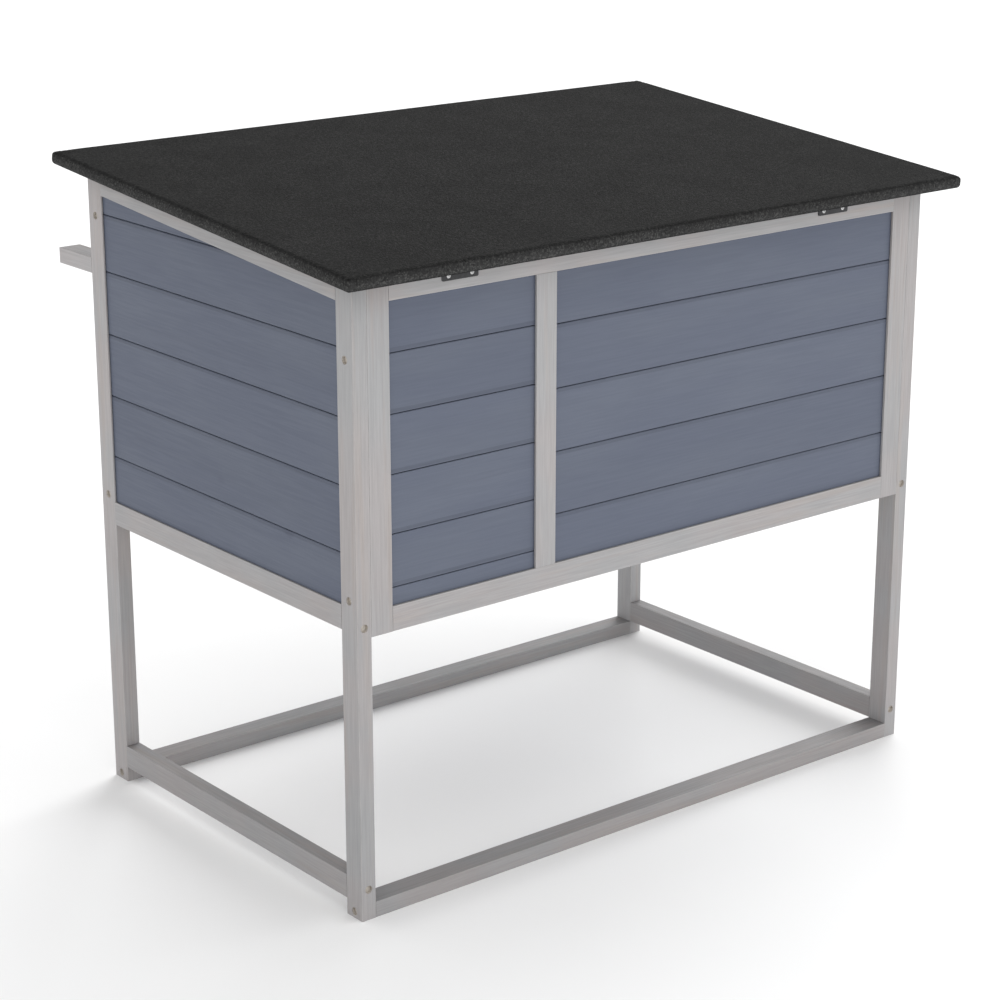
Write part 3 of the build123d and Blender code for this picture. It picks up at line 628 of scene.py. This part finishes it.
def bridge(mesh, first, second):
    """Quads between two loops of as many vertices."""
    for index in range(len(first)):
        after = (index + 1) % len(first)
        mesh.faces.new((first[index], first[after], second[after], second[index]))


def loop(mesh, points):
    """New vertices at the points."""
    return [mesh.verts.new(point) for point in points]


def circle(radius, level, count):
    """Points round the Z axis at a level."""
    turns = [2 * math.pi * index / count for index in range(count)]
    return [Vector((radius * math.cos(turn), radius * math.sin(turn), level)) for turn in turns]


def turned(mesh, profile, count):
    """Rings of a turned shape through its radii and levels, with the quads between them."""
    rings = [loop(mesh, circle(radius, level, count)) for radius, level in profile]
    for first, second in zip(rings, rings[1:]):
        bridge(mesh, first, second)
    return rings


def aimed(position, outward):
    """Matrix that puts the origin at a position and +Z along outward."""
    return Matrix.Translation(position) @ outward.to_track_quat("Z", "Y").to_matrix().to_4x4()


def copies(template, places):
    """One mesh with a copy of the template at every place.  The template is used up."""
    source = bpy.data.meshes.new("template")
    template.to_mesh(source)
    template.free()
    mesh = bmesh.new()
    for place in places:
        start = len(mesh.verts)
        mesh.from_mesh(source)
        mesh.verts.ensure_lookup_table()
        bmesh.ops.transform(mesh, matrix=place, verts=mesh.verts[start:])
    bpy.data.meshes.remove(source)
    return mesh


# ---------------------------------------------------------------- screws, nails and wells
def cross_outline(reach, half, level):
    """Corners of a plus-shaped recess."""
    corner = [(reach, -half), (reach, half), (half, half)]
    points = []
    for quarter in range(4):
        turn = Matrix.Rotation(quarter * math.pi / 2, 3, "Z")
        points += [turn @ Vector((x, y, level)) for x, y in corner]
    return points


def screw_template(radius, dome, length):
    """A countersunk cross-head screw: its rim is at z = 0 and its point at z = -length."""
    mesh = bmesh.new()
    profile = (
        (0.78 * radius, dome),
        (radius, 0.0),
        (radius, -0.1 * radius),
        (0.5 * radius, -0.7 * radius),
        (0.45 * radius, 1.2 * radius - length),
        (0.08 * radius, -length),
    )
    rings = turned(mesh, profile, 24)
    crown = rings[0]
    mesh.faces.new(rings[-1])
    mouth = loop(mesh, cross_outline(0.58 * radius, 0.13 * radius, dome))
    floor = loop(mesh, cross_outline(0.34 * radius, 0.1 * radius, dome - 0.4 * radius))
    bridge(mesh, mouth, floor)
    mesh.faces.new(floor)
    edges = []
    for ring in (crown, mouth):
        for index, vertex in enumerate(ring):
            after = ring[(index + 1) % len(ring)]
            edges.append(mesh.edges.get((vertex, after)) or mesh.edges.new((vertex, after)))
    bmesh.ops.triangle_fill(mesh, use_beauty=True, use_dissolve=False, edges=edges)
    return mesh


def driven(places, name):
    """The places, each turned about its own axis as screws end up."""
    picks = seeded(name)
    return [place @ Matrix.Rotation(picks.uniform(0, math.pi), 4, "Z") for place in places]


def add_screws(name, body, size, places, replaced=()):
    """One piece with a screw at every place: its size is its radius, dome and length."""
    mesh = copies(screw_template(*size), driven(places, name))
    piece = new_piece(name, mesh, steel_bright, body, smooth_angle=35)
    if replaced:
        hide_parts(*replaced)


def frame_screw_places():
    """Where the frame's screws enter, on the faces of the posts."""
    floor_low, floor_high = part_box("floor_board")
    middle_y = (floor_low.y + floor_high.y) / 2
    places = []
    for low, high in solid_boxes("frame_screws"):
        axis = longest_axis(high - low)
        outward = Vector((0, 0, 0))
        middle = (low + high) / 2
        side = middle[axis] - (middle_y if axis == 1 else 0)
        outward[axis] = 1 if side > 0 else -1
        mouth = middle.copy()
        mouth[axis] = (high if side > 0 else low)[axis] + outward[axis] * WELL_DEPTH
        places.append(aimed(mouth, outward))
    return places


def add_screw_wells():
    """The raw wood of the wells and the plug over each screw's head."""
    cup = bmesh.new()
    outer, inner = WELL_R - WELL_PLAY, WELL_R - WELL_LINING
    profile = (
        (outer, 0.1 * MM - WELL_DEPTH),
        (outer, -0.3 * MM),
        (inner, -0.8 * MM),
        (inner, -PLUG_DEPTH),
        (0.9 * inner, 0.15 * MM - PLUG_DEPTH),
        (0.3 * inner, 0.25 * MM - PLUG_DEPTH),
    )
    rings = turned(cup, profile, 32)
    cup.faces.new(rings[0])
    cup.faces.new(rings[-1])
    origin = Vector((0, 0, 0))
    raw = wood_material("raw_wood_wells", 2, origin, seeded("well"), RAW_WOOD, RAW_WOOD_DARK)
    wells = copies(cup, frame_screw_places())
    new_piece("screw_wells", wells, raw, "frame", smooth_angle=30)


def leaf_screw_places(pin, along, out, face, width, length):
    """Places on one leaf: along its pin, out to its edge, with its face's normal."""
    side = width - LEAF_SCREW_EDGE
    reach = length / 2 - LEAF_SCREW_END
    level = LEAF_T - LEAF_STAND
    return [aimed(pin + along * offset + out * side + face * level, face) for offset in (-reach, reach)]


def add_hinge_screws():
    """Two screws in each leaf of the roof's and the doors' hinges."""
    pin_y, pin_z = joints["roof_lift"]["pos_m"][1:]
    under_roof = Vector((0, math.cos(ROOF_SLOPE), -math.sin(ROOF_SLOPE)))
    down = Vector((0, -math.sin(ROOF_SLOPE), -math.cos(ROOF_SLOPE)))
    on_frame = []
    on_roof = []
    for low, high in solid_boxes("roof_hinge_pins"):
        pin = Vector(((low.x + high.x) / 2, pin_y, pin_z))
        length = high.x - low.x - 2 * PIN_HEAD_H
        on_frame += leaf_screw_places(pin, X, -Z, Y, ROOF_LEAF_W, length)
        on_roof += leaf_screw_places(pin, X, under_roof, down, ROOF_LEAF_W, length)
    on_doors = {"den_door": [], "run_door": []}
    for low, high in solid_boxes("door_hinge_pins"):
        pin = (low + high) / 2
        length = high.z - low.z - 2 * PIN_HEAD_H
        outward = X if pin.x > 0 else -X
        on_frame += leaf_screw_places(pin, Z, outward, -Y, DOOR_LEAF_W, length)
        door = "den_door" if pin.x > 0 else "run_door"
        on_doors[door] += leaf_screw_places(pin, Z, -outward, -Y, DOOR_LEAF_W, length)
    add_screws("frame_leaf_screws", "frame", LEAF_SCREW, on_frame, ["hinge_screws"])
    add_screws("roof_leaf_screws", "roof", LEAF_SCREW, on_roof)
    for door, places in on_doors.items():
        add_screws(f"{door}_leaf_screws", door, LEAF_SCREW, places)


def plate_screw_places(low, high, count):
    """Screws in rows above and below the barrel of a plate on the front."""
    places = []
    middle = (low + high) / 2
    for step in range(count):
        x = low.x + (high.x - low.x) * (step + 0.5) / count
        for z in (middle.z - PLATE_SCREW_LEVEL, middle.z + PLATE_SCREW_LEVEL):
            places.append(aimed(Vector((x, high.y - LEAF_T, z)), -Y))
    return places


def add_bolt_screws():
    """Four screws in each bolt's case and two in each keeper."""
    for section in ("den", "run"):
        places = plate_screw_places(*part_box(f"{section}_bolt_case"), 2)
        add_screws(f"{section}_bolt_screws", f"{section}_door", PLATE_SCREW, places)
    places = []
    for low, high in solid_boxes("bolt_keepers"):
        places += plate_screw_places(low, high, 1)
    add_screws("keeper_screws", "frame", PLATE_SCREW, places)


# ---------------------------------------------------------------- welded mesh and staples
def tube(mesh, points, radius, count=8):
    """A round wire through the points, closed at both ends."""
    rings = []
    for index, point in enumerate(points):
        before = points[max(index - 1, 0)]
        after = points[min(index + 1, len(points) - 1)]
        place = aimed(point, (after - before).normalized())
        rings.append(loop(mesh, [place @ spot for spot in circle(radius, 0.0, count)]))
    for first, second in zip(rings, rings[1:]):
        bridge(mesh, first, second)
    mesh.faces.new(rings[0])
    mesh.faces.new(rings[-1])


def wire_lines(low, high):
    """Evenly pitched wire positions from edge to edge."""
    count = round((high - low - WIRE_T) / WIRE_PITCH)
    start = low + WIRE_T / 2
    step = (high - low - WIRE_T) / count
    return [start + index * step for index in range(count + 1)]


def add_run_mesh():
    """Upright round wires in front of level ones, each a little uneven."""
    low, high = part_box("run_door_mesh")
    picks = seeded("run mesh")
    columns = wire_lines(low.x, high.x)
    rows = wire_lines(low.z, high.z)
    near, far = low.y + WIRE_R, high.y - WIRE_R

    def uneven(value):
        return value + picks.uniform(-WIRE_WOBBLE, WIRE_WOBBLE)

    mesh = bmesh.new()
    for x in columns:
        tube(mesh, [Vector((uneven(x), near, z)) for z in (low.z, *rows[1:-1], high.z)], WIRE_R)
    for z in rows:
        tube(mesh, [Vector((x, far, uneven(z))) for x in (low.x, *columns[1:-1], high.x)], WIRE_R)
    piece = new_piece("run_mesh_wires", mesh, wire_black, "run_door", smooth_angle=60)
    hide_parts("run_door_mesh")
    add_staples(low, high)


def add_staples(low, high):
    """Staples over the outer wires of the mesh, driven into the back of the door frame."""
    mesh = bmesh.new()
    crown_y = high.y + STAPLE_R
    turn_y = crown_y - 2 * STAPLE_R
    deep_y = low.y - STAPLE_LEG

    def staple(middle, across):
        """One staple about a point of the mesh, its crown lying across the wire."""
        half = across * STAPLE_W / 2
        flat = half - across * 2 * STAPLE_R
        spots = ((-half, deep_y), (-half, turn_y), (-flat, crown_y))
        spots += tuple((-offset, y) for offset, y in reversed(spots))
        tube(mesh, [middle + offset + Y * y for offset, y in spots], STAPLE_R)

    for x in (low.x + WIRE_T / 2, high.x - WIRE_T / 2):
        count = round((high.z - low.z) / STAPLE_GAP)
        for index in range(count):
            z = low.z + (high.z - low.z) * (index + 0.5) / count
            staple(Vector((x, 0, z)), X)
    for z in (low.z + WIRE_T / 2, high.z - WIRE_T / 2):
        count = round((high.x - low.x) / STAPLE_GAP)
        for index in range(count):
            x = low.x + (high.x - low.x) * (index + 0.5) / count
            staple(Vector((x, 0, z)), Z)
    new_piece("run_mesh_staples", mesh, steel_bright, "run_door", smooth_angle=60)


# ---------------------------------------------------------------- roofing felt
def roof_slab():
    """Half sizes and place of the felted roof: a slab with rounded edges, tilted about X."""
    low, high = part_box("roof_felt")
    extent = high - low - Vector((2, 2, 2)) * FELT_ROUND
    rise, run, both = math.sin(ROOF_SLOPE), math.cos(ROOF_SLOPE), math.cos(2 * ROOF_SLOPE)
    depth = (extent.y * run - extent.z * rise) / both + 2 * FELT_ROUND
    thick = (extent.z * run - extent.y * rise) / both + 2 * FELT_ROUND
    half = Vector((high.x - low.x, depth, thick)) / 2
    return half, Matrix.Translation((low + high) / 2) @ Matrix.Rotation(-ROOF_SLOPE, 4, "X")


def felt_profile(half):
    """Rings from the felt's hem under the board, round the edge and onto the top.

    Each ring is its inset from the roof's edge, its level and the direction into the board.
    """
    profile = [(FELT_MARGIN * share, -half.z, (0, 1)) for share in HEM_SHARES]
    quarter = [math.pi / 2 * index / BEND_STEPS for index in range(BEND_STEPS + 1)]
    for turn in quarter:
        into = (math.sin(turn), math.cos(turn))
        profile.append((FELT_ROUND * (1 - into[0]), -half.z + FELT_ROUND * (1 - into[1]), into))
    for turn in quarter:
        into = (math.cos(turn), -math.sin(turn))
        profile.append((FELT_ROUND * (1 - into[0]), half.z - FELT_ROUND * (1 + into[1]), into))
    for beyond in TOP_RINGS:
        profile.append((FELT_ROUND + beyond * MM, half.z, (0, -1)))
    return profile


def felt_stations(reach):
    """Positions from -1 to 1 along an edge, closer together near its corners."""
    near = [NEAR_STEP * step for step in range(NEAR_COUNT)]
    count = round((reach - near[-1]) / FAR_STEP)
    gap = (reach - near[-1]) / count
    from_corner = near + [near[-1] + gap * step for step in range(1, count + 1)]
    left = [offset / reach - 1 for offset in from_corner]
    return left + [-value for value in reversed(left[:-1])]


def felt_sink(half, x, y, z):
    """How far the felt lies under its even outline: waves, the crease and the corners' pleats."""
    wave = 0.5 + 0.5 * noise.noise(Vector((x, y, z * 3)) * 9)
    ripple = 0.5 + 0.5 * noise.noise(Vector((x, y, z)) * 55)
    sink = FELT_WAVE * (0.75 * wave + 0.25 * ripple)
    beside = half.x - abs(x), half.y - abs(y)
    if z > half.z - FELT_ROUND / 2:
        off_crease = (min(beside) - CREASE_INSET * (1 + 0.15 * ripple)) / CREASE_HALF
        sink += CREASE_DEPTH * math.exp(-off_crease * off_crease)
    if max(beside) < PLEAT_REACH:
        angle = math.atan2(PLEAT_REACH - beside[1], PLEAT_REACH - beside[0])
        fade = min(1.0, (PLEAT_REACH - max(beside)) / (0.5 * PLEAT_REACH))
        sink += PLEAT_DEPTH * fade * (0.5 - 0.5 * math.cos(angle * PLEATS + 2 * ripple))
    above_hem = min(1.0, (z + half.z) / half.z)
    return above_hem * min(sink, DEEPEST_SINK)


def add_felt():
    """The felt as one closed sheet: rings from the hem to the top, and a grid inside them."""
    half, place = roof_slab()
    profile = felt_profile(half)
    stations = felt_stations(half.x - FELT_ROUND), felt_stations(half.y - FELT_ROUND)
    arc = [math.pi / 2 * step / CORNER_STEPS for step in range(1, CORNER_STEPS)]

    def ring_spot(inset, side, share, turn):
        """A point of the ring: share along a side, or turn round the corner after it."""
        core = Vector((half.x, half.y)) - Vector((1, 1)) * max(inset, FELT_ROUND)
        round_off = max(FELT_ROUND - inset, 0)
        axis = side % 2
        spot = Vector((0, 0))
        spot[axis] = core[axis] * share + round_off * math.sin(turn)
        spot[1 - axis] = -core[1 - axis] - round_off * math.cos(turn)
        if axis == 1:
            spot.x = -spot.x
        return spot if side < 2 else -spot

    marks = []
    for side in range(4):
        shares = stations[side % 2]
        marks += [(side, share, 0.0) for share in shares]
        marks += [(side, 1.0, turn) for turn in arc]
    mesh = bmesh.new()
    rings = []
    for inset, level, into in profile:
        points = []
        for side, share, turn in marks:
            spot = ring_spot(inset, side, share, turn)
            sink = felt_sink(half, spot.x, spot.y, level)
            spot = ring_spot(inset + into[0] * sink, side, share, turn)
            points.append(Vector((spot.x, spot.y, level + into[1] * sink)))
        rings.append(loop(mesh, points))
    for first, second in zip(rings, rings[1:]):
        bridge(mesh, first, second)
    inner = half.x - profile[-1][0], half.y - profile[-1][0]
    grid = []
    for y_share in stations[1]:
        row = []
        for x_share in stations[0]:
            x, y = inner[0] * x_share, inner[1] * y_share
            row.append(mesh.verts.new((x, y, half.z - felt_sink(half, x, y, half.z))))
        grid.append(row)
    for lower, upper in zip(grid, grid[1:]):
        for index in range(len(lower) - 1):
            mesh.faces.new((lower[index], lower[index + 1], upper[index + 1], upper[index]))
    bmesh.ops.remove_doubles(mesh, verts=mesh.verts, dist=MERGE_GAP)
    bmesh.ops.recalc_face_normals(mesh, faces=mesh.faces)
    bmesh.ops.solidify(mesh, geom=mesh.faces[:], thickness=0.9 * FELT_T)
    felt = new_piece("felt_cover", mesh, SHARED["roof_felt"], "roof", place, 60)
    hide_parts("roof_felt")
    add_felt_nails(half, place)


def add_felt_nails(half, place):
    """Flat-headed nails through the hem of the felt, under the overhang."""
    nail = bmesh.new()
    # shares of the head's radius, and levels in millimetres
    outline = ((0.55, 0.9), (0.9, 0.7), (1.0, 0.4), (1.0, 0.0), (0.25, 0.0), (0.2, -9.0))
    rings = turned(nail, [(NAIL_R * share, level * MM) for share, level in outline], 20)
    nail.faces.new(rings[0])
    nail.faces.new(rings[-1])
    places = []
    for axis in (0, 1):
        reach = half[axis] - NAIL_INSET
        count = round(2 * reach / NAIL_GAP)
        for index in range(count):
            along = reach * (2 * (index + 0.5) / count - 1)
            for side in (-1, 1):
                spot = Vector((0, 0, -half.z + 0.1 * MM))
                spot[axis] = along
                spot[1 - axis] = side * (half[1 - axis] - NAIL_INSET)
                places.append(place @ aimed(spot, -Z))
    new_piece("felt_nails", copies(nail, places), steel_bright, "roof")


# ---------------------------------------------------------------- put together
def add_floor():
    """A wide level floor under the hutch, which is part of the stage and not of the hutch."""
    mesh = bmesh.new()
    bmesh.ops.create_grid(mesh, x_segments=8, y_segments=8, size=FLOOR_SIZE / 2)
    floor = new_piece("floor", mesh, floor_material())


# what makes the material of each node in a slot
MATERIALS = {
    "painted_timber": painted_timber,
    "painted_planks": painted_planks,
    "bare_timber": bare_timber,
    "bare_plywood": bare_plywood,
}
steel_dark = coated_steel("coated_steel", srgb(52, 52, 54), srgb(120, 120, 122), 0.45)
steel_bright = zinc_steel("zinc_steel", srgb(205, 205, 205))
wire_black = coated_steel("coated_wire", srgb(60, 61, 62), srgb(150, 150, 150), 0.4)
enamel = coated_steel("tray_coating", srgb(120, 124, 128), srgb(160, 162, 165), 0.5)
# one material for all nodes in a slot
SHARED = {
    "hinge_steel": steel_dark,
    "bolt_steel": steel_dark,
    "bright_steel": steel_bright,
    "mesh_wire": wire_black,
    "tray_enamel": enamel,
    "roof_felt": felt_material(roof_slab()[0]),
}


def finish_nodes():
    """Give each CAD node the material of its slot."""
    for entry in frame["record"]["subparts"]:
        node = entry["node"]
        slot = entry["material_slot"]
        material = SHARED[slot] if slot in SHARED else MATERIALS[slot](node)
        for place in nodes[node].material_slots:
            place.material = material


add_camera()
add_light()
add_floor()
finish_nodes()
add_screw_wells()
add_hinge_screws()
add_bolt_screws()
add_run_mesh()
add_felt()
